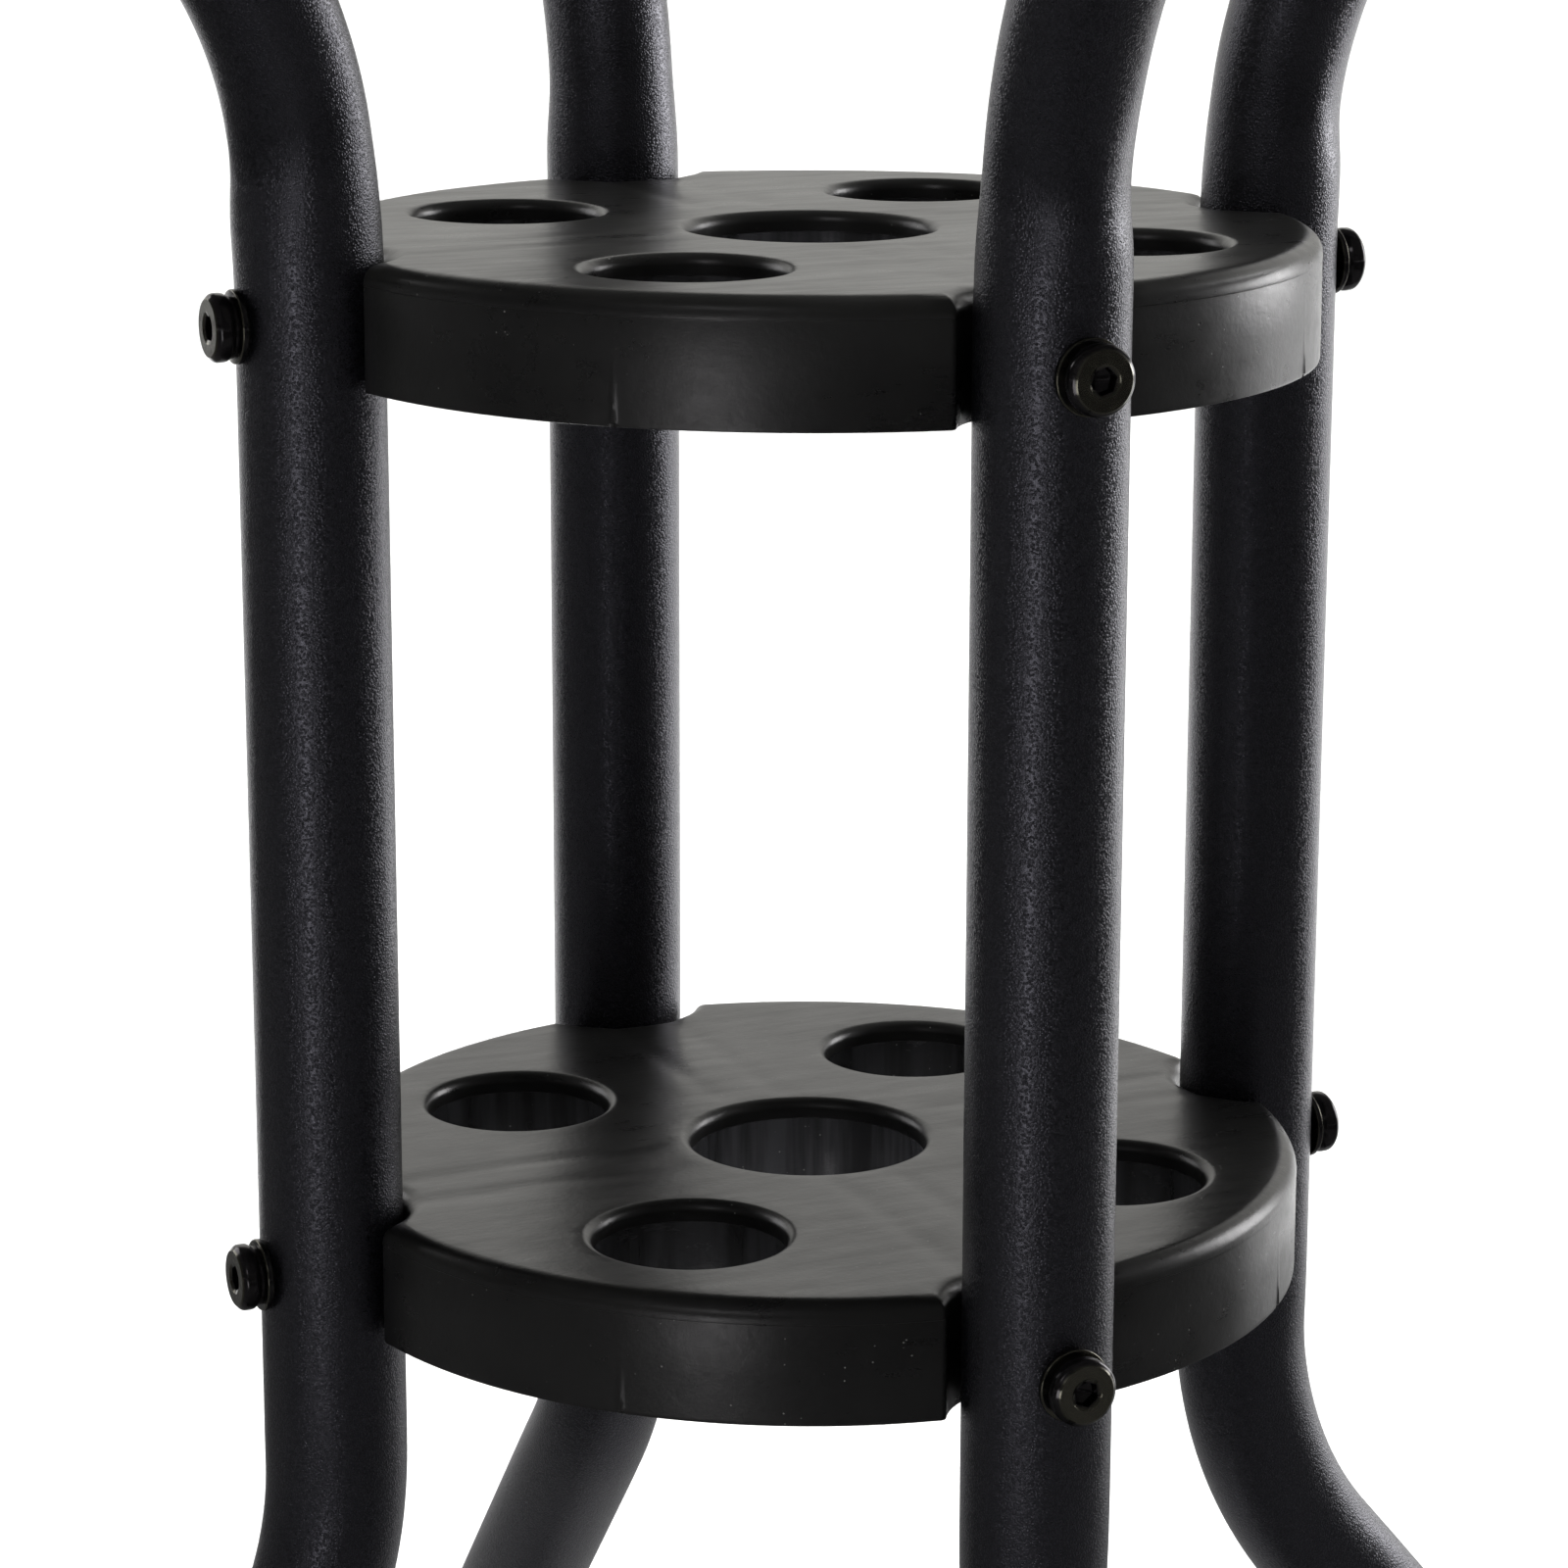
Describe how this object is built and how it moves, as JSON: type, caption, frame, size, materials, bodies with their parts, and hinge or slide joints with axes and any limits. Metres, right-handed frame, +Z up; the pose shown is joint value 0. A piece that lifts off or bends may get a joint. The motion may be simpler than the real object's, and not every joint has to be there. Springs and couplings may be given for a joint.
{
  "type": "umbrella stand",
  "caption": "Black umbrella stand: bent tube legs, flared at top and bottom, screwed round two round plates with holes that hold umbrellas.",
  "frame": {"origin": "on the floor, on the centre line of the stand", "axes": "+Z up; the legs stand on the X and Y axes, with leg_front towards -Y and leg_right towards +X"},
  "size_m": [0.425, 0.425, 0.5174],
  "materials": {
    "powder_coat": "black powder coat on steel tube, satin with a fine grain",
    "plate_plastic": "black moulded polypropylene, satin, faint flow marks and scratches",
    "black_steel": "black oxide steel, oiled and glossy",
    "insert_brass": "turned brass",
    "cap_plastic": "black moulded plastic, satin",
    "foot_rubber": "black rubber, matt"
  },
  "bodies": {
    "root": {"upper_plate": "plate_plastic", "lower_plate": "plate_plastic", "leg_right": "powder_coat", "top_cap_right": "cap_plastic", "foot_right": "foot_rubber", "upper_screw_right": "black_steel", "upper_washer_right": "black_steel", "upper_insert_right": "insert_brass", "lower_screw_right": "black_steel", "lower_washer_right": "black_steel", "lower_insert_right": "insert_brass", "leg_back": "powder_coat", "top_cap_back": "cap_plastic", "foot_back": "foot_rubber", "upper_screw_back": "black_steel", "upper_washer_back": "black_steel", "upper_insert_back": "insert_brass", "lower_screw_back": "black_steel", "lower_washer_back": "black_steel", "lower_insert_back": "insert_brass", "leg_left": "powder_coat", "top_cap_left": "cap_plastic", "foot_left": "foot_rubber", "upper_screw_left": "black_steel", "upper_washer_left": "black_steel", "upper_insert_left": "insert_brass", "lower_screw_left": "black_steel", "lower_washer_left": "black_steel", "lower_insert_left": "insert_brass", "leg_front": "powder_coat", "top_cap_front": "cap_plastic", "foot_front": "foot_rubber", "upper_screw_front": "black_steel", "upper_washer_front": "black_steel", "upper_insert_front": "insert_brass", "lower_screw_front": "black_steel", "lower_washer_front": "black_steel", "lower_insert_front": "insert_brass"}
  },
  "joints": []
}
